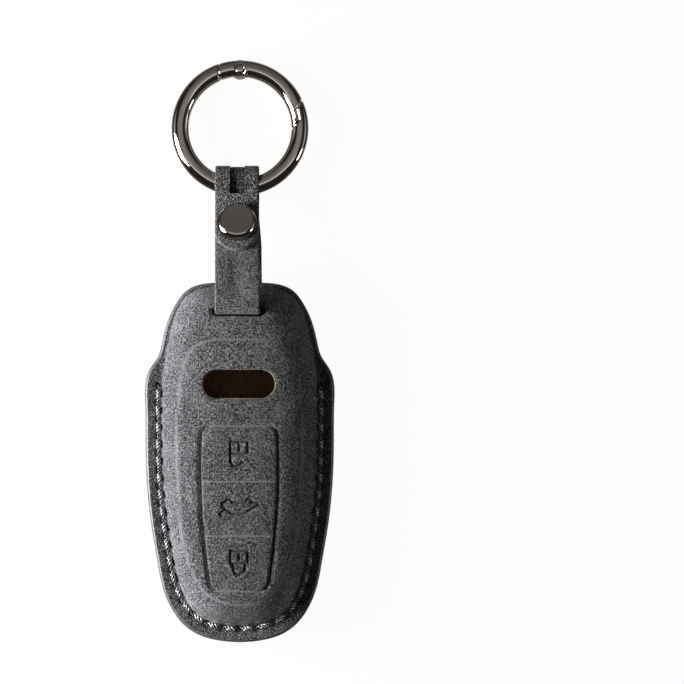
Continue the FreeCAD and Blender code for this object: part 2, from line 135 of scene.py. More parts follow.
def evenPlaces(line, shares):
    # points at the given shares of a closed line's length
    closed = np.vstack([line, line[:1]])
    travel = travelAlong(closed)
    return pointsAt(closed, travel, shares * travel[-1])


def outlineShape(shares, count):
    # the outline as evenly spaced shares, ready to be set to any inset
    right = np.array(shares, float)
    left = right[-2:0:-1] * np.array((-1, 1))
    size = np.array((cover["halfWidth"], cover["length"]))
    chords = np.linalg.norm(np.diff(right * size, axis=0), axis=1)
    fine = closedSpline(np.vstack([right, left]), np.concatenate([chords, chords[::-1]]))
    return evenPlaces(fine * size, np.arange(count) / count) / size


flangeShape = outlineShape(flangeShares, cover["around"])
domeShape = outlineShape(domeShares, cover["around"])
faceShape = outlineShape(faceShares, cover["faceAround"])


def setOutline(shape, sideInset, topInset, bottomInset):
    top = topY - topInset
    tall = top - bottomY - bottomInset
    return np.stack([shape[:, 0] * (cover["halfWidth"] - sideInset), top - shape[:, 1] * tall], axis=1)


def flangeRing(inset):
    return setOutline(flangeShape, inset, inset, inset)


def domeRing(inset):
    onFlange = cover["flange"] + inset
    return setOutline(domeShape, onFlange, cover["mouthRim"] + inset, onFlange)


faceLine = setOutline(faceShape, cover["flange"] + cover["faceInset"], cover["faceDrop"], cover["faceFoot"])


def lineDistance(points, line, closed=True):
    # distance of each point from a line, below zero inside a closed one
    tiny, blockSize = 1e-12, 4000
    starts = line if closed else line[:-1]
    ends = np.roll(line, -1, axis=0) if closed else line[1:]
    along = ends - starts
    rise = np.where(np.abs(along[:, 1]) < tiny, tiny, along[:, 1])
    out = []
    for block in np.array_split(points, max(1, len(points) // blockSize)):
        lean = block[:, None, :] - starts[None]
        share = np.clip((lean * along).sum(2) / np.maximum((along ** 2).sum(1), tiny), 0, 1)
        near = np.sqrt(((lean - share[..., None] * along) ** 2).sum(2).min(1))
        if closed:
            y = block[:, 1:2]
            spans = (starts[None, :, 1] > y) != (ends[None, :, 1] > y)
            cross = starts[None, :, 0] + (y - starts[None, :, 1]) * along[None, :, 0] / rise
            inside = (spans & (block[:, 0:1] < cross)).sum(1) % 2 == 1
            near = np.where(inside, -near, near)
        out.append(near)
    return np.concatenate(out)


def levelDistance(y, *levels):
    return np.min([np.abs(y - level) for level in levels], axis=0)


def arcLine(x, y, radius, start, end, steps=14):
    turns = np.radians(np.linspace(start, end, steps))
    return np.stack([x + radius * np.cos(turns), y + radius * np.sin(turns)], axis=1)


def stadiumLine(length, height, y):
    radius = height / 2
    right = arcLine(length / 2 - radius, y, radius, -90, 90, 24)
    return np.vstack([right, np.stack([-right[:, 0], 2 * y - right[:, 1]], axis=1)])


# openings: badge window, strap slots and button panel
window = {"length": 18.7, "height": 7.5, "drop": 25.9}
slots = {
    "front": {"length": 13.5, "height": 2.2, "drop": 8.6, "shift": -0.2},
    "rear": {"length": 11.35, "height": 2.9, "drop": 6.3, "shift": 0.0},
}
panel = {"head": 9.3, "foot": 6.9, "bow": 1.2, "height": 41.8, "drop": 36.6, "corner": 2.2,
         "gap": 0.2, "endGap": 0.04, "rows": 97}
panelHead = topY - panel["drop"]


def windowOutline(grow):
    return stadiumLine(window["length"] + 2 * grow, window["height"] + 2 * grow, topY - window["drop"])


def slotLine(side, grow=0.0):
    slot = slots[side]
    middleY = topY - slot["drop"] + slot["height"] / 2
    line = stadiumLine(slot["length"] + 2 * grow, slot["height"] + 2 * grow, middleY)
    return line + np.array((slot["shift"], 0))


def panelHalfWidth(down):
    # half width of the button panel at a share of its height, before its corners
    waist = (panel["head"] + panel["foot"]) / 2 + panel["bow"]
    return (panel["head"] * 2 * (down - 0.5) * (down - 1) - waist * 4 * down * (down - 1)
            + panel["foot"] * 2 * down * (down - 0.5))


def panelSide(grow, rows):
    # the panel's right side from its head down, corners rounded
    endGrow = grow * panel["endGap"] / panel["gap"]
    radius, tall = panel["corner"] + grow, panel["height"] + 2 * endGrow
    deep = tall * rows
    half = panelHalfWidth((deep - endGrow) / panel["height"]) + grow
    half = half - radius * (1 - roundRise(np.minimum(deep, tall - deep), radius))
    return np.column_stack([half, panelHead + endGrow - deep])


def panelLine(grow):
    side = panelSide(grow, (1 - np.cos(np.linspace(0, math.pi, panel["rows"]))) / 2)
    return np.vstack([side, np.stack([-side[::-1, 0], side[::-1, 1]], axis=1)])


windowLine = windowOutline(0)
panelEdge = panelLine(panel["gap"])


def crownHeight(points, front=1):
    # the moulded face is arched across and drops off towards its two ends
    across = np.clip(1 - np.abs(points[:, 0] / cover["crownHalf"]) ** cover["crownPower"], 0, 1)
    toEnd = np.minimum(topY - cover["mouthRim"] - points[:, 1], points[:, 1] - bottomY - cover["flange"])
    return cover["crown"][front] * across * roundRise(toEnd, cover["crownRun"])


stitches = {"inset": 3.4, "start": 0.163, "count": 34, "hole": 0.8, "dimple": 0.8}
stitchShares = np.linspace(stitches["start"], 1 - stitches["start"], stitches["count"] + 1)
stitchPoints = evenPlaces(flangeRing(stitches["inset"]), stitchShares)


def stitchSwell(count):
    # 0 at each stitch hole and 1 between two, along the stitched part of the outline
    start, last = stitches["start"], stitches["count"]
    phase = (np.arange(count) / count - start) / (1 - 2 * start) * last
    inside = hump(phase, -0.5, 0.5, last - 0.5, last + 0.5)
    return inside * (0.5 - 0.5 * np.cos(fullTurn * phase)), inside


def holeDistance(points):
    return np.min([np.linalg.norm(points - hole, axis=1) for hole in stitchPoints], axis=0)


# meshes and pieces


def vertsOf(geom):
    return [item for item in geom if isinstance(item, bmesh.types.BMVert)]


def loftRings(bm, rings):
    # a circle set to the first ring, then pulled on from ring to ring
    verts = bmesh.ops.create_circle(bm, segments=len(rings[0]), radius=1)["verts"]
    edges = list({edge for vert in verts for edge in vert.link_edges})
    for vert, place in zip(verts, rings[0]):
        vert.co = place
    for places in rings[1:]:
        made = bmesh.ops.extrude_edge_only(bm, edges=edges)["geom"]
        fresh = set(vertsOf(made))
        edges = [item for item in made if isinstance(item, bmesh.types.BMEdge)
                 and item.verts[0] in fresh and item.verts[1] in fresh]
        following = []
        for vert, place in zip(verts, places):
            new = next(edge.other_vert(vert) for edge in vert.link_edges if edge.other_vert(vert) in fresh)
            new.co = place
            following.append(new)
        verts = following


def fillOpen(bm):
    bmesh.ops.holes_fill(bm, edges=[edge for edge in bm.edges if edge.is_boundary], sides=0)


def openMesh(mesh):
    bm = bmesh.new()
    bm.from_mesh(mesh)
    return bm


def shadeMesh(mesh, smoothAngle=40):
    mesh.shade_smooth()
    mesh.set_sharp_from_angle(angle=math.radians(smoothAngle))


def writeMesh(bm, mesh, smoothAngle=40):
    bmesh.ops.recalc_face_normals(bm, faces=bm.faces)
    bm.to_mesh(mesh)
    bm.free()
    shadeMesh(mesh, smoothAngle)


def makePiece(name, bm, smoothAngle=40):
    piece = bpy.data.objects.new(name, bpy.data.meshes.new(name))
    bpy.context.collection.objects.link(piece)
    writeMesh(bm, piece.data, smoothAngle)
    return piece


def loftPiece(name, rings):
    bm = bmesh.new()
    loftRings(bm, rings)
    fillOpen(bm)
    return makePiece(name, bm)


def prismRings(line, low, high):
    return [np.column_stack([line, np.full(len(line), z)]) for z in (low, high)]


def prismCutter(line, low, high):
    return loftPiece("cutter", prismRings(line, low, high))


def cutAway(piece, cutters, operation="DIFFERENCE"):
    # works on the piece with each cutter in turn and throws the cutters away
    for cutter in cutters:
        opening = piece.modifiers.new("opening", "BOOLEAN")
        opening.operation, opening.solver, opening.object = operation, "EXACT", cutter
    depsgraph = bpy.context.evaluated_depsgraph_get()
    mesh = bpy.data.meshes.new_from_object(piece.evaluated_get(depsgraph))
    piece.modifiers.clear()
    piece.data = mesh
    for cutter in cutters:
        bpy.data.objects.remove(cutter)
    shadeMesh(mesh)


def pointsOf(mesh):
    flat = np.zeros(len(mesh.vertices) * 3)
    mesh.vertices.foreach_get("co", flat)
    return flat.reshape(-1, 3)


def setMask(mesh, name, values):
    mesh.attributes.new(name, "FLOAT", "POINT").data.foreach_set("value", np.asarray(values, np.float32))


def markFaces(mesh, chosen, upLimit=1.1):
    # second material on faces with chosen corners only, and whose normal doesn't point too far up or down
    for face in mesh.polygons:
        if all(chosen[index] for index in face.vertices) and abs(face.normal.z) < upLimit:
            face.material_index = 1


def settle(piece, body, node, slotName, *materials):
    for material in materials:
        piece.data.materials.append(material)
    piece.data.transform(Matrix.Scale(mm, 4))
    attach(piece, body)
    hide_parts(node)
    print(piece.name, len(piece.data.polygons), "faces")


# materials: first the ways to add nodes, then the shared effects as groups


def connect(tree, node, values):
    # a socket is linked to the input, anything else is set as the input's own value
    for title, value in values.items():
        if isinstance(value, bpy.types.NodeSocket):
            tree.links.new(value, node.inputs[title])
        else:
            node.inputs[title].default_value = value


def addNode(tree, kind, values=None, **settings):
    node = tree.nodes.new("ShaderNode" + kind)
    for title, setting in settings.items():
        setattr(node, title, setting)
    connect(tree, node, values or {})
    return node


def mathNode(tree, operation, *values, **settings):
    return addNode(tree, "Math", dict(enumerate(values)), operation=operation, **settings).outputs[0]


def rangeNode(tree, value, fromLow=0.0, fromHigh=1.0, toLow=0.0, toHigh=1.0):
    values = dict(enumerate((value, fromLow, fromHigh, toLow, toHigh)))
    return addNode(tree, "MapRange", values).outputs[0]


def mixNode(tree, share, first, second, **settings):
    # sockets 6, 7 and output 2 of a mix are those for colours
    return addNode(tree, "Mix", {0: share, 6: first, 7: second}, data_type="RGBA", **settings).outputs[2]


def noiseNode(tree, scale, detail, roughness):
    coords = addNode(tree, "TexCoord").outputs["Object"]
    values = {"Vector": coords, "Scale": scale, "Detail": detail, "Roughness": roughness}
    return addNode(tree, "TexNoise", values).outputs[0]


def newGroup(name, inputs, outputs):
    group = bpy.data.node_groups.new(name, "ShaderNodeTree")
    for way, sockets in (("INPUT", inputs), ("OUTPUT", outputs)):
        for title, kind in sockets.items():
            group.interface.new_socket(name=title, in_out=way, socket_type="NodeSocket" + kind)
    return group, group.nodes.new("NodeGroupInput").outputs, group.nodes.new("NodeGroupOutput")


def napGroup():
    # short suede nap: fine specks, brushed patches and a rough height
    group, source, result = newGroup(
        "suedeNap", {"Dark": "Color", "Light": "Color", "Fineness": "Float", "Patches": "Float"},
        {"Color": "Color", "Height": "Float"})
    specks = rangeNode(group, noiseNode(group, source["Fineness"], 2.5, 0.65), 0.45, 0.66)
    brushed = rangeNode(group, noiseNode(group, 130.0, 4.0, 0.6), 0.3, 0.7, -0.5, 0.5)
    patches = mathNode(group, "MULTIPLY", brushed, source["Patches"])
    share = mathNode(group, "ADD", specks, patches, use_clamp=True)
    colour = mixNode(group, share, source["Dark"], source["Light"])
    connect(group, result, {"Color": colour, "Height": specks})
    return group


def smudgeGroup():
    # faint handling marks that only change the gloss
    group, source, result = newGroup(
        "polishSmudge", {"Low": "Float", "High": "Float", "Scale": "Float"}, {"Roughness": "Float"})
    cloud = noiseNode(group, source["Scale"], 5.0, 0.7)
    connect(group, result, {"Roughness": rangeNode(group, cloud, 0.35, 0.7, source["Low"], source["High"])})
    return group


nap = napGroup()
smudge = smudgeGroup()


def napNode(tree, dark, light, fineness, patches=0.3):
    values = {"Dark": (*dark, 1), "Light": (*light, 1), "Fineness": fineness, "Patches": patches}
    return addNode(tree, "Group", values, node_tree=nap).outputs


def smudgeNode(tree, low, high, scale=180.0):
    return addNode(tree, "Group", {"Low": low, "High": high, "Scale": scale}, node_tree=smudge).outputs[0]


def bumpNode(tree, height, strength, distance):
    return addNode(tree, "Bump", {"Height": height, "Strength": strength, "Distance": distance}).outputs[0]


def newMaterial(name):
    material = bpy.data.materials.new(name)
    material.use_nodes = True
    return material, material.node_tree, material.node_tree.nodes["Principled BSDF"]


suedeLook = {
    "nap": {"dark": (0.016, 0.0163, 0.017), "light": (0.44, 0.447, 0.462), "fineness": 2750.0,
            "patches": 0.22},
    # the first factor is the nap's colour at full painted shade, the grey is that of the painted highlight
    "paintedLight": 0.06, "paintedHighlight": (0.3, 0.305, 0.315, 1), "bump": 0.0008,
    "shader": {"Roughness": 0.95, "Specular IOR Level": 0.15, "Sheen Weight": 0.35, "Sheen Roughness": 0.45,
               "Sheen Tint": (0.8, 0.82, 0.86, 1)},
}


def suedeMaterial():
    material, tree, shader = newMaterial("suede")
    fur = napNode(tree, **suedeLook["nap"])
    # painted shade darkens the nap where the mask is above 0, and a painted highlight mixes to a plain light
    # grey where it is below 0
    mask = addNode(tree, "Attribute", attribute_name="paintedLight").outputs["Fac"]
    shade = rangeNode(tree, mask, 0.0, 1.5, 1.0, suedeLook["paintedLight"])
    tone = mixNode(tree, 1.0, fur["Color"], shade, blend_type="MULTIPLY")
    highlightShare = rangeNode(tree, mask, 0.0, -1.0)
    connect(tree, shader, {"Base Color": mixNode(tree, highlightShare, tone, suedeLook["paintedHighlight"]),
                           "Normal": bumpNode(tree, fur["Height"], 0.8, suedeLook["bump"])})
    connect(tree, shader, suedeLook["shader"])
    return material


def paintMaterial():
    # smooth painted leather edge
    material, tree, shader = newMaterial("edgePaint")
    fur = napNode(tree, (0.07, 0.072, 0.076), (0.12, 0.122, 0.126), 900.0)
    connect(tree, shader, {"Base Color": fur["Color"], "Roughness": smudgeNode(tree, 0.35, 0.55)})
    return material


def liningMaterial(name, dark, light):
    material, tree, shader = newMaterial(name)
    fur = napNode(tree, dark, light, 1500.0)
    connect(tree, shader, {"Base Color": fur["Color"], "Roughness": 0.6,
                           "Normal": bumpNode(tree, fur["Height"], 0.3, 0.0002)})
    return material


def threadMaterial():
    # waxed strands, each with a painted glint along the outside of its twist
    material, tree, shader = newMaterial("waxedThread")
    fur = napNode(tree, (0.012, 0.012, 0.013), (0.06, 0.061, 0.064), 4200.0)
    paintedGlint = addNode(tree, "Attribute", attribute_name="paintedGlint").outputs["Fac"]
    connect(tree, shader, {"Base Color": mixNode(tree, paintedGlint, fur["Color"], (0.6, 0.605, 0.615, 1)),
                           "Roughness": smudgeNode(tree, 0.22, 0.32, 900.0),
                           "IOR": 2.0, "Specular IOR Level": 1.0})
    return material


def metalMaterial(name, colour, low, high):
    material, tree, shader = newMaterial(name)
    connect(tree, shader, {"Metallic": 1.0, "Base Color": (*colour, 1),
                           "Roughness": smudgeNode(tree, low, high)})
    return material


suede = suedeMaterial()
edgePaint = paintMaterial()
lining = liningMaterial("brownLining", (0.2, 0.095, 0.045), (0.34, 0.17, 0.085))
cutEdge = liningMaterial("liningCutEdge", (0.45, 0.33, 0.22), (0.62, 0.5, 0.37))
thread = threadMaterial()
gunmetal = metalMaterial("blackNickel", (0.42, 0.385, 0.355), 0.03, 0.08)
steel = metalMaterial("springSteel", (0.55, 0.55, 0.56), 0.2, 0.35)
print("materials made")

# the two moulded shells, lofted through insets from the outline
shell = {
    "hollow": (19.9, 17, 14, 11.5, 9.5, 8, 6.8, 5.8, 5, 4.2, 3.4, 2.7, 2.1, 1.75, cover["leather"]),
    "dome": (0.0, 0.06, 0.16, 0.32, 0.55, 0.85, 1.2, 1.65, 2.2, 2.8, 3.4, 4.0, 4.6, 5.2,
             *np.arange(5.5, 19.7, 0.27), 19.9),
    "seamInset": 0.02, "paintWide": 0.85, "paintTall": 1.25, "paintFaces": 0.75,
    "creaseDeep": 0.16, "creaseWide": 0.55, "scallop": 0.3, "scallopRun": 2.4, "footLift": 0.12,
    "domeFoot": 0.14, "grooveDeep": 0.5, "grooveWide": 1.25, "slotDeep": 0.45, "slotWide": 1.0,
    "windowDeep": 0.2, "windowWide": 0.6, "flangeTop": 3.2, "faceLow": 5, "paintedHighlight": 0.6,
    "frontCut": (12, 24), "frontSlotCut": (11.6, 24), "rearCut": (-4, 8),
}


def domeRise(line, inset, front, depth=0.0):
    # height of the moulded form over the seam, or of a layer that lies deeper in it
    wall = (cover["sideRise"][front] - depth) * roundRise(inset - depth, cover["sideRun"] - depth)
    ease = 1 - (1 - np.clip((inset - depth) / cover["crownRun"], 0, 1)) ** 2
    return wall + crownHeight(line, front) * ease


def faceDetail(points):
    # the raised key face, and the leather drawn in round its openings
    rise = cover["faceStep"] * smoothStep(0.15, -0.35, lineDistance(points, faceLine))
    for name, line in (("groove", panelEdge), ("slot", slotLine("front")), ("window", windowLine)):
        fall = smoothStep(shell[name + "Wide"], 0, lineDistance(points, line))
        rise = rise - shell[name + "Deep"] * fall
    return rise


def shellRings(side):
    # rings from the middle of the hollow, out round the painted edge and up over the dome
    leather, count, front = cover["leather"], cover["around"], int(side > 0)
    swell, stitched = stitchSwell(count)
    rings = []

    def add(line, rise):
        rings.append(np.column_stack([line, cover["seamZ"] + side * np.broadcast_to(rise, count)]))

    for inset in shell["hollow"]:
        add(domeRing(inset), domeRise(domeRing(inset), inset, front, leather))
    add(flangeRing(shell["seamInset"]), 0.0)
    wide, tall = shell["paintWide"], shell["paintTall"]
    for turn in np.radians(np.arange(0, 91, 15)):
        add(flangeRing(wide * (1 - math.cos(turn))), leather - tall + tall * math.sin(turn))
    outer, foot, stitchLine = flangeRing(wide), domeRing(0), flangeRing(stitches["inset"])
    for share in np.linspace(0.06, 0.98, 15):
        line = outer * (1 - share) + foot * share
        crease = np.exp(-(np.linalg.norm(line - stitchLine, axis=1) / shell["creaseWide"]) ** 2)
        dimple = np.exp(-(holeDistance(line) / stitches["hole"]) ** 2)
        lift = shell["footLift"] * smoothStep(0.8, 1.0, share)
        add(line, leather + lift - shell["creaseDeep"] * crease * stitched - stitches["dimple"] * dimple)
    middle = np.array((0, (topY + bottomY) / 2))
    for inset in shell["dome"]:
        # between stitches the leather bulges out over the flange
        bulge = shell["scallop"] * swell * max(0, 1 - inset / shell["scallopRun"])
        away = domeRing(inset) - middle
        line = domeRing(inset) + away / np.linalg.norm(away, axis=1, keepdims=True) * bulge[:, None]
        rise = np.maximum(domeRise(line, inset, front), leather + shell["domeFoot"])
        add(line, rise + faceDetail(line) if front else rise)
    return rings


def shellMask(places, front):
    # above 0 is painted shade, below 0 a painted highlight
    flat, y = places[:, :2], places[:, 1]
    high = np.abs(places[:, 2] - cover["seamZ"])
    # painted shade on the flange round the dome's foot, less of it towards the bottom
    shade = 0.25 + 0.25 * smoothStep(bottomY + 1, bottomY + 9, y)
    atFoot = smoothStep(-0.5, 0.35, lineDistance(flat, domeRing(0)[::4]))
    mask = shade * atFoot * smoothStep(shell["flangeTop"], cover["leather"], high)
    if front:
        onFace = high > shell["faceLow"]
        around = lineDistance(flat, panelEdge)
        # painted shade in the groove round the button panel
        mask = np.maximum(mask, 0.75 * smoothStep(0.7, 0, around) * onFace)
        # painted highlight along the edge of the key face and across the ends of the panel
        paintedHighlight = smoothStep(0.36, 0.1, np.abs(lineDistance(flat, faceLine)))
        ends = levelDistance(y, panelEdge[:, 1].max(), panelEdge[:, 1].min())
        atEnd = smoothStep(0.35, 0.1, ends) * (np.abs(flat[:, 0]) < panel["foot"] + 1) * (around < 0.5)
        edgeHighlights = np.where(atEnd > 0.05, -atEnd, mask) - shell["paintedHighlight"] * paintedHighlight
        mask = np.where(onFace, edgeHighlights, mask)
    # painted shade in and round the stitch holes
    holes = 1.5 * smoothStep(1.2, 0.55, holeDistance(flat))
    return np.where(high < shell["flangeTop"], np.maximum(mask, holes), mask)


def buildShell(name, node, side, openings):
    piece = loftPiece(name, shellRings(side))
    cutAway(piece, openings)
    places = pointsOf(piece.data)
    setMask(piece.data, "paintedLight", shellMask(places, side > 0))
    markFaces(piece.data, -lineDistance(places[:, :2], flangeRing(0)[::4]) < shell["paintFaces"])
    settle(piece, "cover", node, "suede", suede, edgePaint)


def frontOpenings(windowCut, slotGrow):
    return [prismCutter(windowCut, *shell["frontCut"]), prismCutter(panelEdge, *shell["frontCut"]),
            prismCutter(slotLine("front", slotGrow), *shell["frontSlotCut"])]


def rearOpenings():
    return [prismCutter(slotLine("rear"), *shell["rearCut"])]


buildShell("frontShellLeather", "front_shell", 1, frontOpenings(windowLine, 0.0))
buildShell("rearShellLeather", "rear_shell", -1, rearOpenings())
print("shells made")

# thin brown lining glued inside each shell
liningSize = {
    "insets": (19.5, 17, 14, 11.5, 9.5, 8, 6.8, 5.8, 5, 4.2, 3.5, 3.0, 2.6, 2.3), "rim": 1.9,
    "outside": 1.65, "thick": 0.5, "windowIn": 0.13, "windowShift": (-0.1, 0.08), "slotOut": 0.8,
    "lip": ((0.0, -1.0), (0.0, 0.0), (0.08, 0.1), (0.2, 0.0), (0.2, -1.0), (0.0, -1.0)),
    "lipIn": 0.02, "lipDrop": 1.45,
}
windowEdge = windowOutline(-liningSize["windowIn"]) + np.array(liningSize["windowShift"])
windowOut = windowOutline(1) - windowLine


def liningRings(side):
    rings = []
    insets, outside = liningSize["insets"], liningSize["outside"]
    inside = outside + liningSize["thick"]
    outer, inner = insets + (liningSize["rim"], outside), (inside,) + insets[::-1]
    for depth, places in ((outside, outer), (inside, inner)):
        for inset in places:
            line = domeRing(inset)[::4]
            rise = domeRise(line, inset, int(side > 0), depth)
            rings.append(np.column_stack([line, cover["seamZ"] + side * rise]))
    return rings


def addLip(mesh):
    # the lining's raw edge stands up a little inside the window
    bm = openMesh(mesh)
    before = len(bm.faces)
    rings = []
    for out, lift in liningSize["lip"]:
        line = windowEdge + windowOut * (out - liningSize["lipIn"])
        top = cover["seamZ"] + cover["sideRise"][1] + crownHeight(line) - liningSize["lipDrop"]
        rings.append(np.column_stack([line, top + lift]))
    loftRings(bm, rings)
    bm.faces.ensure_lookup_table()
    corners = {vert for face in bm.faces[before:] for vert in face.verts}
    bmesh.ops.remove_doubles(bm, verts=list(corners), dist=0.001)
    bm.faces.ensure_lookup_table()
    for face in bm.faces[before:]:
        face.material_index = 1
        face.smooth = True
    bmesh.ops.recalc_face_normals(bm, faces=bm.faces[before:])
    bm.to_mesh(mesh)
    bm.free()


def buildLining(name, node, side, openings):
    piece = loftPiece(name, liningRings(side))
    cutAway(piece, openings)
    if side > 0:
        # the cut edge round the window is left raw and light
        near = np.abs(lineDistance(pointsOf(piece.data)[:, :2], windowEdge)) < 0.02
        markFaces(piece.data, near, 0.3)
        addLip(piece.data)
    settle(piece, "cover", node, "lining", lining, cutEdge)


buildLining("frontLiningLeather", "front_lining", 1, frontOpenings(windowEdge, liningSize["slotOut"]))
buildLining("rearLiningLeather", "rear_lining", -1, rearOpenings())
print("linings made")

# press pads with debossed signs, read from the ring end
pads = {
    "unlock_pad": {"name": "unlockPadSuede", "from": 0.0, "to": 0.335, "sign": "open"},
    "boot_pad": {"name": "bootPadSuede", "from": 0.335, "to": 0.665, "sign": "boot"},
    "lock_pad": {"name": "lockPadSuede", "from": 0.665, "to": 1.0, "sign": "closed"},
}
padShape = {"gap": 0.02, "bottom": 17.6, "edgeDeep": 0.55, "edgeWide": 0.55, "across": 116, "down": 92,
            "crowding": 0.45, "signDeep": 0.55, "signWide": 0.28, "signSoft": 0.2, "edgeHighlights": 1.0}


def signLines(kind):
    # strokes in millimetres about the pad's middle
    if kind == "boot":
        wheels = [arcLine(x, 1.6, 0.8, 180, 0) for x in (-2.7, 2.5)]
        roof = [(4.6, 1.5), (5.1, 0.9), (3.4, 0.1), (1.6, -1.1), (-1.8, -1.25), (-3.3, -0.2), (-4.3, 0.5)]
        lid = np.array([(-3.4, -0.1), (-4.9, -1.3), (-4.4, -1.9)])
        return [np.vstack([[(-4.3, 0.5), (-4.2, 1.6)], *wheels, roof]), lid]
    body = np.array([(-2.2, 3.2), (2.2, 3.2), (2.2, 0.1), (-2.2, 0.1), (-2.2, 3.2)])
    key = np.array([(0, 2.3), (0, 1.0)])
    if kind == "open":
        arch = [[(-2.2, 0.1), (-2.2, -1.5)], arcLine(-0.7, -1.6, 1.5, 180, 345)]
    else:
        arch = [[(-1.5, 0.1), (-1.5, -1.2)], arcLine(0, -1.3, 1.5, 180, 360), [(1.5, 0.1)]]
    return [body, key, np.vstack(arch)]


def signDistance(points, kind):
    return np.min([lineDistance(points, line, False) for line in signLines(kind)], axis=0)


def padEdgeFall(flat, half, sideEdge):
    # how far the top falls towards the panel's outline, but not towards the straight cuts at its ends
    x, y = np.abs(flat[:, 0]), flat[:, 1]
    atCorner = np.minimum(panelHead - y, y - panelHead + panel["height"]) < panel["corner"]
    outer = np.where(atCorner, -lineDistance(flat, panelLine(0.0)), sideEdge)
    rim = np.maximum(np.minimum(outer, sideEdge), 0)
    endHalf = np.where(y > panelHead - panel["height"] / 2, panel["head"], panel["foot"]) - panel["corner"]
    rim = np.where(x < endHalf, np.maximum(rim, smoothStep(0.0, 0.6, half - x)), rim)
    return padShape["edgeDeep"] * (1 - roundRise(rim, padShape["edgeWide"]))


def buildPad(node, pad):
    upper = panelHead - pad["from"] * panel["height"] - (padShape["gap"] if pad["from"] > 0 else 0)
    lower = panelHead - pad["to"] * panel["height"] + (padShape["gap"] if pad["to"] < 1 else 0)
    middle = np.array((0.0, (upper + lower) / 2))
    bm = bmesh.new()
    bmesh.ops.create_grid(bm, x_segments=padShape["across"], y_segments=padShape["down"], size=1)
    share = np.array([vert.co[:2] for vert in bm.verts])
    # closer rows towards the ends, so that round corners and edges stay smooth
    ease = np.sin(share * math.pi / 2) * padShape["crowding"] + share * (1 - padShape["crowding"])
    y = middle[1] + ease[:, 1] * (upper - lower) / 2
    half = panelSide(0.0, np.clip((panelHead - y) / panel["height"], 0, 1))[:, 0]
    flat = np.column_stack([ease[:, 0] * half, y])
    fall = padEdgeFall(flat, half, (1 - np.abs(ease[:, 0])) * half)
    wide, soft = padShape["signWide"], padShape["signSoft"]
    onSign = signDistance(flat - middle, pad["sign"])
    carve = padShape["signDeep"] * smoothStep(wide + soft, wide - soft, onSign)
    base = cover["seamZ"] + cover["sideRise"][1] + cover["faceStep"]
    height = base + crownHeight(flat) - fall - carve
    for vert, place, z in zip(bm.verts, flat, height):
        vert.co = (*place, z)
    rimEdges = [edge for edge in bm.edges if edge.is_boundary]
    skirt = bmesh.ops.extrude_edge_only(bm, edges=rimEdges)["geom"]
    for vert in vertsOf(skirt):
        vert.co.z = padShape["bottom"]
    fillOpen(bm)
    bmesh.ops.remove_doubles(bm, verts=bm.verts, dist=0.0005)
    piece = makePiece(pad["name"], bm, 60)
    places = pointsOf(piece.data)
    # painted shade in the strokes, painted highlight along both ends
    dark = smoothStep(0.5, 0.12, signDistance(places[:, :2] - middle, pad["sign"]))
    light = padShape["edgeHighlights"] * smoothStep(0.2, 0.06, levelDistance(places[:, 1], upper, lower))
    setMask(piece.data, "paintedLight", (dark - light) * (places[:, 2] > padShape["bottom"] + 0.2))
    settle(piece, node, node, "suede", suede)


for padNode, padValues in pads.items():
    buildPad(padNode, padValues)
print("press pads made")

# strap: one strip looped through the cover and folded over the ring
# bends are given as a drop from the top and a height, fades as lengths from the end of the front leaf
strap = {
    "width": 11.2, "thick": 1.5, "shift": -0.7, "layer": 1.6, "slope": 26.2338, "pinch": 5.75,
    "pinchBend": 2.0, "rivet": 11.5, "tail": 7.2, "backCorner": 18.8, "backBend": 3.5, "floor": (2.3, 0.8),
    "floorBend": 3.0, "bend": 1.35, "frontBend": (6.05, 19.05), "rearBend": (3.95, 2.15), "corner": 0.42,
    "step": 0.4,
    "earSlot": 3.7, "earBack": 1.6, "earCut": 12, "earCutZ": (-2, 16), "tongueWide": 3.66, "tongueThick": 1.2,
    "tongueCorner": 0.35, "tongueRadius": 4.1, "tongueShift": 0.65, "tongueWrap": 195, "tongueStep": 0.35,
    "valley": (9, 15, 24, 29), "valleyDeep": 0.3, "valleyWide": 1.5, "valleyShift": -0.4,
    "enter": (6, 24, 30, 42), "enterSway": 0.22, "back": (30, 42, 66, 78), "backSway": 0.7,
    "flare": 0.12, "flareLength": 36, "leastHalf": 0.3,
}
loopMiddle = Vector(joints["ring_swing"]["pos_m"][1:]) / mm
loopRadius = loopMiddle.y - strap["floor"][1]
slope = math.radians(strap["slope"])
upStrap = Vector((-math.cos(slope), math.sin(slope)))
offStrap = Vector((math.sin(slope), math.cos(slope)))


def strapPlace(distance, offset):
    return loopMiddle + upStrap * distance + offStrap * offset


def dropPlace(name):
    drop, z = strap[name]
    return Vector((topY - drop, z))


def touchAngle(point, centre, radius, sign):
    lean = point - centre
    return math.atan2(lean.y, lean.x) + sign * math.acos(radius / lean.length)


def bendPlaces(centre, radius, start, end, step=0.35):
    count = max(4, int(abs(end - start) * radius / step))
    turns = np.linspace(start, end, count + 1)
    return [centre + Vector((math.cos(turn), math.sin(turn))) * radius for turn in turns]


def roundedPath(corners, radii):
    # straight runs with a round bend at each inner corner
    path = [corners[0]]
    for before, corner, after, radius in zip(corners, corners[1:], corners[2:], radii):
        come, leave = (corner - before).normalized(), (after - corner).normalized()
        turn = come.x * leave.y - come.y * leave.x
        angle = come.angle(leave)
        entry = corner - come * radius * math.tan(angle / 2)
        centre = entry + Vector((-come.y, come.x)) * math.copysign(radius, turn)
        first = math.atan2(entry.y - centre.y, entry.x - centre.x)
        path += bendPlaces(centre, radius, first, first + math.copysign(angle, turn))
    return path + [corners[-1]]


def evenPath(path, step):
    # the path in short steps, without doubled points
    line = np.array([tuple(point) for point in path])
    line = line[np.concatenate([[True], np.linalg.norm(np.diff(line, axis=0), axis=1) > 1e-6])]
    travel = travelAlong(line)
    at = np.linspace(0, travel[-1], int(travel[-1] / step) + 1)
    return pointsAt(line, travel, at), at


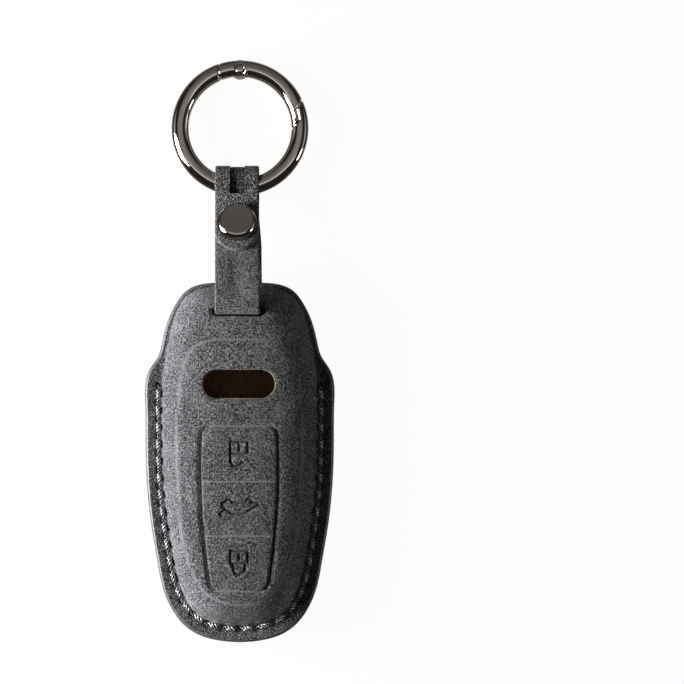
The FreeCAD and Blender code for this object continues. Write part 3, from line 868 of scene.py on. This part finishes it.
def bandPath():
    layer, bend, pinchBend = strap["layer"], strap["bend"], strap["pinchBend"]
    tip = strapPlace(strap["rivet"] + strap["tail"], layer)
    pinchTop, pinchLow = (strapPlace(strap["pinch"], offset) for offset in (layer, -layer))
    over = touchAngle(pinchTop, loopMiddle, loopRadius, -1)
    under = touchAngle(pinchLow, loopMiddle, loopRadius, 1) - fullTurn
    loop = bendPlaces(loopMiddle, loopRadius, over, under)
    path = roundedPath([tip, pinchTop, loop[0]], [pinchBend]) + loop
    rear, front = dropPlace("rearBend"), dropPlace("frontBend")
    backCorner = strapPlace(strap["backCorner"], -layer)
    path += roundedPath([loop[-1], pinchLow, backCorner, dropPlace("floor"), rear - Vector((0, bend))],
                        [pinchBend, strap["backBend"], strap["floorBend"]])
    # in at the rear slot, straight through the cover and out at the front slot
    run = (front - rear).normalized()
    runAngle = math.atan2(run.x, -run.y)
    leaveRear = runAngle - (fullTurn if runAngle > -math.pi / 2 else 0)
    meetFront = runAngle + (fullTurn if runAngle < 0 else 0)
    path += bendPlaces(rear, bend, -math.pi / 2, leaveRear, 0.2)
    path += bendPlaces(front, bend, meetFront, math.pi / 2 - slope, 0.2)
    return path + [strapPlace(strap["pinch"], 0)]


def bandSection(halfWidth, thick, corner, across=15):
    # rounded rectangle as (across, off) pairs, the top side first
    halfWidth, corner = max(halfWidth, corner), min(corner, thick / 2 - 0.05)
    x, off = halfWidth - corner, thick / 2 - corner
    top = np.column_stack([np.linspace(-x, x, across), np.full(across, thick / 2)])
    half = np.vstack([top, arcLine(x, off, corner, 90, 0, 5)[1:], arcLine(x, -off, corner, 0, -90, 5)[1:-1]])
    return np.vstack([half, -half])


def loftBand(bm, path, travel, widths, thick, corner, shape=None, sway=None):
    rings = []
    headings = np.gradient(path, axis=0)
    headings /= np.linalg.norm(headings, axis=1, keepdims=True)
    for place, heading, half, travelled in zip(path, headings, widths, travel):
        normal = np.array((-heading[1], heading[0]))
        section = bandSection(half, thick, corner)
        off = section[:, 1] + (shape(section, travelled) if shape else 0)
        across = strap["shift"] + section[:, 0] + (sway(travelled) if sway else 0)
        rings.append(np.column_stack([across, place[0] + normal[0] * off, place[1] + normal[1] * off]))
    loftRings(bm, rings)
    fillOpen(bm)


strapPath, strapTravel = evenPath(bandPath(), strap["step"])


def valley(section, travelled):
    # a soft hollow down the middle of the front leaf, below the stud
    amount = strap["valleyDeep"] * hump(strapTravel[-1] - travelled, *strap["valley"])
    across = (section[:, 0] - strap["valleyShift"]) / strap["valleyWide"]
    return -amount * np.exp(-across ** 2) * (section[:, 1] > 0)


def strapSway(travelled):
    # the back leaf lies further right, and the front leaf a little where it enters the cover
    left = strapTravel[-1] - travelled
    return strap["enterSway"] * hump(left, *strap["enter"]) + strap["backSway"] * hump(left, *strap["back"])


def strapWidths():
    # half widths: round at the tip, and a little wider where the front leaf enters the cover
    half, left = strap["width"] / 2, strapTravel[-1] - strapTravel
    tip = np.sqrt(np.clip(half ** 2 - (half - strapTravel) ** 2, strap["leastHalf"], None))
    flare = strap["flare"] * smoothStep(*strap["enter"][:2], left) * (left < strap["flareLength"])
    return np.where(strapTravel < half, tip, half) + flare


def buildStrap():
    bm = bmesh.new()
    loftBand(bm, strapPath, strapTravel, strapWidths(), strap["thick"], strap["corner"], valley, strapSway)
    piece = makePiece("strapLeather", bm)
    left, right = (strap["shift"] + sign * strap["earSlot"] / 2 for sign in (-1, 1))
    low, high = loopMiddle.x - strap["earBack"], loopMiddle.x + strap["earCut"]
    slotBox = np.array([(left, low), (right, low), (right, high), (left, high)])
    cutAway(piece, [prismCutter(slotBox, *strap["earCutZ"])])
    bm = openMesh(piece.data)
    # narrow end of the front leaf, folded over the ring between the ears
    centre, radius = loopMiddle - upStrap * strap["tongueShift"], strap["tongueRadius"]
    root = strapPlace(strap["pinch"], 0)
    turn = touchAngle(root, centre, radius, -1)
    fold = [root] + bendPlaces(centre, radius, turn, turn - math.radians(strap["tongueWrap"]))
    path, travel = evenPath(fold, strap["tongueStep"])
    widths = np.full(len(path), strap["tongueWide"] / 2)
    loftBand(bm, path, travel, widths, strap["tongueThick"], strap["tongueCorner"])
    writeMesh(bm, piece.data)
    setMask(piece.data, "paintedLight", np.zeros(len(piece.data.vertices)))
    settle(piece, "cover", "strap", "suede", suede)


buildStrap()
print("strap made")

# lock stitches: three twisted strands from hole to hole
stitch = {"strands": 3, "strand": 0.3, "twist": 0.33, "turns": 1.5, "rise": 0.5, "sink": 0.75, "bed": 0.1,
          "steps": 26, "sides": 8, "paintedGlint": 0.07}


def stitchHeight(share):
    # out of one hole, flat along the leather and down into the next
    arch = smoothStep(0.13, 0.35, 0.5 - np.abs(share - 0.5))
    return -stitch["sink"] + (stitch["sink"] + stitch["rise"]) * arch


def stitchMesh():
    # one stitch of unit length along X, over a surface at Z 0
    bm = bmesh.new()
    for strand in range(stitch["strands"]):
        rings = []
        for share in np.linspace(0, 1, stitch["steps"]):
            turn = fullTurn * (strand / stitch["strands"] + stitch["turns"] * share)
            corners = turn + np.linspace(0, fullTurn, stitch["sides"], endpoint=False)
            across = stitch["twist"] * math.cos(turn) + stitch["strand"] * np.cos(corners)
            up = stitch["twist"] * math.sin(turn) + stitch["strand"] * np.sin(corners)
            rings.append(np.column_stack([np.full(stitch["sides"], share), across, stitchHeight(share) + up]))
        loftRings(bm, rings)
    fillOpen(bm)
    mesh = bpy.data.meshes.new("stitch")
    writeMesh(bm, mesh)
    places = pointsOf(mesh)
    # painted glint band along the outside of each strand
    outside = stitch["twist"] + stitch["strand"]
    away = np.hypot(places[:, 1], places[:, 2] - stitchHeight(places[:, 0]))
    setMask(mesh, "paintedGlint", smoothStep(outside - stitch["paintedGlint"], outside, away))
    return mesh


def buildThread(name, node, side):
    one = stitchMesh()
    bm = bmesh.new()
    surface = cover["seamZ"] + side * (cover["leather"] - stitch["bed"])
    flip = Matrix.Rotation(0 if side > 0 else math.pi, 4, "X")
    for start, end in zip(stitchPoints, stitchPoints[1:]):
        along = Vector((*(end - start), 0))
        before = len(bm.verts)
        bm.from_mesh(one)
        bm.verts.ensure_lookup_table()
        turn = Matrix.Rotation(math.atan2(along.y, along.x), 4, "Z")
        place = Matrix.Translation((*start, surface)) @ turn @ flip @ Matrix.Diagonal((along.length, 1, 1, 1))
        bmesh.ops.transform(bm, matrix=place, verts=bm.verts[before:])
    settle(makePiece(name, bm, 80), "cover", node, "thread", thread)


buildThread("frontThreadTwist", "front_thread", 1)
buildThread("rearThreadTwist", "rear_thread", -1)
print("stitches made")

# spring ring: a tube parted into body and gate by fine seams with broken edges, in a plane of its own
ring = {
    "radius": 15.33, "tube": 2.19, "sides": 112, "pinReach": 15.0, "pinRadius": 1.35, "pinRoom": 0.05,
    "heel": 5.6, "latchInner": 20.07, "latchOuter": 17.75, "split": 15.2, "gap": 0.05, "cut": (-5, 5),
    "plate": 0.75, "plateHalf": 1.95, "plateRoom": 0.12, "eye": 2.5, "eyeFlat": 1.9,
    "boreTurn": 17.856, "bore": 0.78, "boreLength": 9.4,
    "seamDeep": 0.3, "seamWide": 0.24, "pinGroove": 0.16, "pinGrooveWide": 0.18,
    "pinHead": ((0, 2.04), (0.4, 2.02), (0.75, 1.95), (1.02, 1.84), (1.2, 1.68), (1.27, 1.5)),
}
gateAxis = Vector(joints["gate_swing"]["axis"])
ringTilt = math.atan2(-gateAxis.y, -gateAxis.z)
ringMiddle = loopMiddle + Vector((math.cos(ringTilt), -math.sin(ringTilt))) * ring["radius"]
ringPlace = Matrix.Translation((0, *ringMiddle)) @ Matrix.Rotation(-ringTilt, 4, "X")
pinPoint = Vector((0, ring["pinReach"], 0))
boreTurn = math.radians(ring["boreTurn"])
boreHeading = Vector((math.cos(boreTurn), -math.sin(boreTurn), 0))


def zoneLine(grow):
    # plan of the gate: a round heel about the pin and a stepped latch at its far end
    reach = ring["pinReach"]
    inner, outer, split = (ring[name] + grow for name in ("latchInner", "latchOuter", "split"))

    def meet(radius):
        y = (split ** 2 + reach ** 2 - radius ** 2) / (2 * reach)
        return math.sqrt(split ** 2 - y ** 2), y

    def turnOf(point, y):
        return math.degrees(math.atan2(point[1] - y, point[0]))

    low, high = meet(inner), meet(outer)
    return np.vstack([
        [(0, 30)], arcLine(0, reach, ring["heel"] + grow, 90, 270, 60),
        arcLine(0, reach, inner, 270, 360 + turnOf(low, reach), 60),
        arcLine(0, 0, split, turnOf(low, 0), turnOf(high, 0), 30)[1:],
        arcLine(0, reach, outer, turnOf(high, reach), -10, 40)[1:], [(30, 12), (30, 30)]])


def ringTube(name):
    # closer sections at the latch, the pin and the heel
    spans = ((0, 360, 1.0), (2, 24, 0.25), (84, 96, 0.5), (105, 118, 0.25))
    angles = np.unique(np.round(np.concatenate([np.arange(*span) for span in spans]), 3))
    turns = np.linspace(0, fullTurn, ring["sides"], endpoint=False)
    around, turn = np.meshgrid(np.radians(angles), turns, indexing="ij")

    def places(tube):
        out = ring["radius"] + tube * np.cos(turn)
        return np.stack([out * np.cos(around), out * np.sin(around), tube * np.sin(turn)], axis=2)

    plan = places(ring["tube"])[..., :2].reshape(-1, 2)
    fromSeam = lineDistance(plan, zoneLine(ring["gap"] / 2))
    fromPin = np.linalg.norm(plan - np.array(pinPoint[:2]), axis=1) - ring["pinRadius"]
    seam = ring["seamDeep"] * np.exp(-(fromSeam / ring["seamWide"]) ** 2)
    groove = ring["pinGroove"] * np.exp(-(fromPin / ring["pinGrooveWide"]) ** 2)
    grid = places(ring["tube"] - (seam + groove).reshape(turn.shape))
    bm = bmesh.new()
    loftRings(bm, list(grid) + [grid[0]])
    bmesh.ops.remove_doubles(bm, verts=bm.verts, dist=1e-5)
    return makePiece(name, bm)


def circleLine(radius, y=0.0, count=64):
    return arcLine(0, y, radius, 0, 360, count + 1)[:-1]


def boreCutter():
    cutter = prismCutter(circleLine(ring["bore"], count=32), 0, ring["boreLength"])
    turn = boreHeading.to_track_quat("Z", "Y").to_matrix().to_4x4()
    cutter.data.transform(Matrix.Translation(pinPoint) @ turn)
    return cutter


def buildGate():
    piece = ringTube("ringGateMetal")
    cutAway(piece, [prismCutter(zoneLine(0), *ring["cut"])], "INTERSECT")
    reach, room = ring["pinReach"], ring["plate"] + ring["plateRoom"]
    heelSlot = np.array([(-12, 5), (0, 5), (0, 25), (-12, 25)])
    eyeRoom = circleLine(ring["eye"] + ring["plateRoom"], reach)
    pinHole = circleLine(ring["pinRadius"] + ring["pinRoom"], reach)
    cutAway(piece, [prismCutter(heelSlot, -room, room), prismCutter(eyeRoom, -room, room),
                    prismCutter(pinHole, *ring["cut"]), boreCutter()])
    piece.data.transform(ringPlace)
    settle(piece, "gate", "ring_gate", "gunmetal", gunmetal)


def buildRing():
    piece = ringTube("ringBodyMetal")
    cutAway(piece, [prismCutter(zoneLine(ring["gap"]), *ring["cut"])])
    # plate and eye that carry the pin inside the gate's heel, the eye flat towards the bore
    heading = np.array(boreHeading[:2])
    eye = circleLine(ring["eye"])
    over = np.maximum(eye @ heading - ring["eyeFlat"], 0)
    eye = eye - over[:, None] * heading + np.array(pinPoint[:2])
    plate = np.vstack([arcLine(0, 0, ring["radius"] + ring["plateHalf"], 88, 110.5),
                       arcLine(0, 0, ring["radius"] - ring["plateHalf"], 114, 88)])
    bm = openMesh(piece.data)
    for line in (plate, eye):
        loftRings(bm, prismRings(line, -ring["plate"], ring["plate"]))
    fillOpen(bm)
    writeMesh(bm, piece.data)
    piece.data.transform(ringPlace)
    settle(piece, "ring", "ring_body", "gunmetal", gunmetal)


def turnedPiece(name, profile, place):
    # solid of revolution from radius and height pairs
    bm = bmesh.new()
    verts = [bm.verts.new((radius, 0, height)) for radius, height in profile]
    edges = [bm.edges.new(pair) for pair in zip(verts, verts[1:])]
    bmesh.ops.spin(bm, geom=verts + edges, cent=(0, 0, 0), axis=(0, 0, 1), angle=fullTurn, steps=128,
                   use_merge=True)
    bmesh.ops.remove_doubles(bm, verts=bm.verts, dist=1e-4)
    bmesh.ops.transform(bm, matrix=place, verts=bm.verts)
    return makePiece(name, bm, 30)


buildGate()
buildRing()
pinProfile = ring["pinHead"] + tuple((radius, -height) for radius, height in reversed(ring["pinHead"]))
settle(turnedPiece("gatePinMetal", pinProfile, ringPlace @ Matrix.Translation(pinPoint)),
       "ring", "gate_pin", "gunmetal", gunmetal)
print("ring made")

# two-part screw stud, as radius and height pairs from the strap's face
stud = {
    "post": ((0, 2.26), (1.2, 2.27), (2.4, 2.31), (3.6, 2.39), (3.95, 2.39), (4.1, 2.35), (4.25, 2.28),
             (4.42, 2.16), (4.6, 1.99), (4.76, 1.79), (4.89, 1.57), (5.0, 1.32), (5.08, 1.05), (5.13, 0.78),
             (5.15, 0.5), (5.12, 0.22), (5.02, 0.07), (4.85, 0), (2.2, 0), (2.2, -4.6), (1.55, -4.6),
             (1.55, -0.4), (0, -0.4)),
    "screw": ((0, 4.2), (1.4, 4.2), (1.5, 4.1), (1.5, 0), (3.65, 0), (3.77, -0.06), (3.8, -0.18), (3.8, -1.0),
              (3.74, -1.18), (3.6, -1.27), (3.4, -1.3), (0, -1.3)),
    "slotHalf": (5, 0.45), "slotZ": (-3, -0.7),
}


def studPlace(offset):
    place = strapPlace(strap["rivet"], offset)
    return Matrix.Translation((strap["shift"], *place)) @ Matrix.Rotation(-slope, 4, "X")


def buildStud():
    stack = strap["layer"] + strap["thick"] / 2
    post = turnedPiece("screwPostMetal", stud["post"], studPlace(stack))
    settle(post, "cover", "screw_post", "gunmetal", gunmetal)
    screw = turnedPiece("screwMetal", stud["screw"], Matrix.Identity(4))
    slotBox = np.array([(-1, -1), (1, -1), (1, 1), (-1, 1)]) * np.array(stud["slotHalf"])
    cutAway(screw, [prismCutter(slotBox, *stud["slotZ"])])
    screw.data.transform(studPlace(-stack))
    settle(screw, "cover", "screw", "gunmetal", gunmetal)


buildStud()
print("stud made")

# plunger as the frame has it, and the spring built from the frame's mesh
plunger = frame["nodes"]["gate_plunger"]
plunger.data.materials.clear()
plunger.data.materials.append(steel)


def buildSpring():
    bm = openMesh(frame["nodes"]["gate_spring"].data)
    bmesh.ops.remove_doubles(bm, verts=bm.verts, dist=1e-7)
    bmesh.ops.scale(bm, vec=(1 / mm, 1 / mm, 1 / mm), verts=bm.verts)
    piece = makePiece("gateSpringCoil", bm)
    settle(piece, "gate", "gate_spring", "steel", steel)
    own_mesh(piece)


buildSpring()
print("spring and plunger set")

# white stage, studio light and the camera above, all in metres
studio = {
    "floorHalf": 3.0, "floorZ": -0.0002, "floorShown": 0.96, "floorNear": (0.001, 0.01),
    "floorReflectionGlow": (1.0, 0.03),
    "camera": (0.02607, 0.00219), "planeZ": 0.0095, "distance": 1.8, "field": 0.1744,
    "world": 0.03, "panel": (0.36, 0.13), "panelEdge": 1.1, "sides": (1.0, 0.7),
}
lights = {
    "keySoftbox": {"place": (-0.45, -0.03, 0.13), "aim": (0, 0, 0.01), "power": 9.3, "size": (0.22, 0.4)},
    "topSoftbox": {"place": (0, 0.05, 1.0), "aim": (0, 0.05, 0), "power": 0.18, "size": (0.8, 0.8)},
    "rightSoftbox": {"place": (0.5, -0.1, 0.04), "aim": (0, 0, 0.01), "power": 0.58, "size": (0.1, 0.25)},
}


def buildFloor():
    bm = bmesh.new()
    bmesh.ops.create_grid(bm, x_segments=1, y_segments=1, size=studio["floorHalf"])
    bmesh.ops.translate(bm, verts=bm.verts, vec=(0, 0, studio["floorZ"]))
    floor = makePiece("paleFloor", bm)
    material, tree, shader = newMaterial("paleFloor")
    connect(tree, shader, {"Base Color": (0.85, 0.85, 0.85, 1), "Roughness": 0.9})
    rays = addNode(tree, "LightPath").outputs
    seen = mathNode(tree, "MAXIMUM", rays["Is Camera Ray"], rays["Is Glossy Ray"])
    share = mathNode(tree, "MULTIPLY", seen, studio["floorShown"])
    # painted reflection: for glossy rays the floor glows white right below the ring and dim away from it
    coords = addNode(tree, "TexCoord").outputs["Object"]
    spot = addNode(tree, "VectorMath", {0: coords, 1: (0, ringMiddle.x * mm, 0)}, operation="DISTANCE")
    past = mathNode(tree, "SUBTRACT", spot.outputs["Value"], ring["radius"] * mm)
    away = mathNode(tree, "ABSOLUTE", past)
    reflectionGlow = rangeNode(tree, away, *studio["floorNear"], *studio["floorReflectionGlow"])
    level = rangeNode(tree, rays["Is Glossy Ray"], toLow=1.0, toHigh=reflectionGlow)
    glow = addNode(tree, "Emission", {"Color": (1, 1, 1, 1), "Strength": level})
    mix = addNode(tree, "MixShader", {0: share, 1: shader.outputs[0], 2: glow.outputs[0]})
    connect(tree, tree.nodes["Material Output"], {"Surface": mix.outputs[0]})
    floor.data.materials.append(material)


def addLight(name, place, aim, power, size):
    light = bpy.data.lights.new(name, "AREA")
    light.shape, light.energy = "RECTANGLE", power
    light.size, light.size_y = size
    lamp = bpy.data.objects.new(name, light)
    lamp.location = place
    lamp.rotation_mode = "QUATERNION"
    lamp.rotation_quaternion = (Vector(aim) - Vector(place)).to_track_quat("-Z", "Y")
    bpy.context.collection.objects.link(lamp)


def buildRoom():
    world = bpy.data.worlds.new("studioRoom")
    bpy.context.scene.world = world
    world.use_nodes = True
    tree = world.node_tree
    rays = addNode(tree, "LightPath").outputs
    coords = addNode(tree, "TexCoord").outputs["Generated"]
    heading = addNode(tree, "SeparateXYZ", {0: coords}).outputs
    # polished metal sees a dim panel that starts overhead and hangs down at the ring end
    start = rangeNode(tree, heading["Y"], -0.16, -0.13)
    inside = rangeNode(tree, mathNode(tree, "ABSOLUTE", heading["X"]), 0.5, 0.62, 1.0, 0.0)
    hung = mathNode(tree, "MULTIPLY", start, inside)
    faded = rangeNode(tree, heading["Y"], 0.0, 0.8, *studio["panel"])
    edge = rangeNode(tree, heading["Y"], -0.05, 0.0, studio["panelEdge"], 0.0)
    shown = mathNode(tree, "MULTIPLY", hung, mathNode(tree, "ADD", faded, edge))
    # and a soft glow on both sides
    left = rangeNode(tree, heading["X"], -0.9, -0.99, toHigh=studio["sides"][0])
    right = rangeNode(tree, heading["X"], 0.9, 0.99, toHigh=studio["sides"][1])
    around = mathNode(tree, "ADD", shown, mathNode(tree, "ADD", left, right))
    mirrored = mathNode(tree, "MULTIPLY", around, rays["Is Glossy Ray"])
    level = rangeNode(tree, rays["Is Camera Ray"], toLow=studio["world"])
    strength = mathNode(tree, "ADD", level, mirrored)
    connect(tree, tree.nodes["Background"], {"Color": (1, 1, 1, 1), "Strength": strength})


def placeCamera():
    lens = bpy.data.cameras.new("aboveCamera")
    lens.angle = 2 * math.atan(studio["field"] / 2 / studio["distance"])
    lens.clip_start, lens.clip_end = 0.01, 10
    camera = bpy.data.objects.new("aboveCamera", lens)
    camera.location = (*studio["camera"], studio["planeZ"] + studio["distance"])
    bpy.context.collection.objects.link(camera)
    bpy.context.scene.camera = camera


buildFloor()
for lightName, lightValues in lights.items():
    addLight(lightName, **lightValues)
buildRoom()
placeCamera()
bpy.context.scene.view_settings.view_transform = "Standard"
print("stage set")
